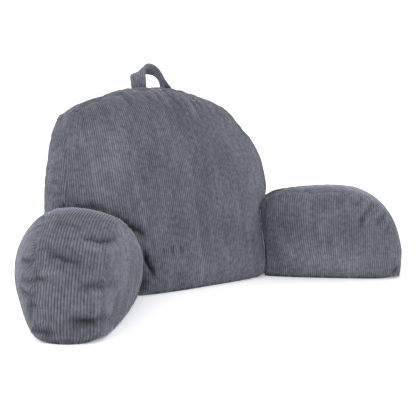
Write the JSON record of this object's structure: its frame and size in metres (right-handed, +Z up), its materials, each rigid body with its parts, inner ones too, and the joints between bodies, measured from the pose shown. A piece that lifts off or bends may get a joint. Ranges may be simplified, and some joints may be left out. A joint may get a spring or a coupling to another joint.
{
  "type": "reading pillow with arms",
  "caption": "Stuffed corduroy reading pillow: a broad back cushion that leans back, two splayed arm cushions sewn to its lower sides, and a flat carry loop on top.",
  "frame": {"origin": "centre of the bounding box in plan, on the surface that the pillow stands on", "axes": "+Z up; the sitter's side faces -Y and the rear panel +Y; +X is to the right of someone who faces the pillow"},
  "size_m": [1.043, 0.5497, 0.5387],
  "materials": {
    "corduroy": "soft wide-wale pile, matt with a faint sheen"
  },
  "bodies": {
    "root": {"back_cushion": "corduroy", "left_arm": "corduroy", "right_arm": "corduroy", "carry_loop": "corduroy"}
  },
  "joints": []
}
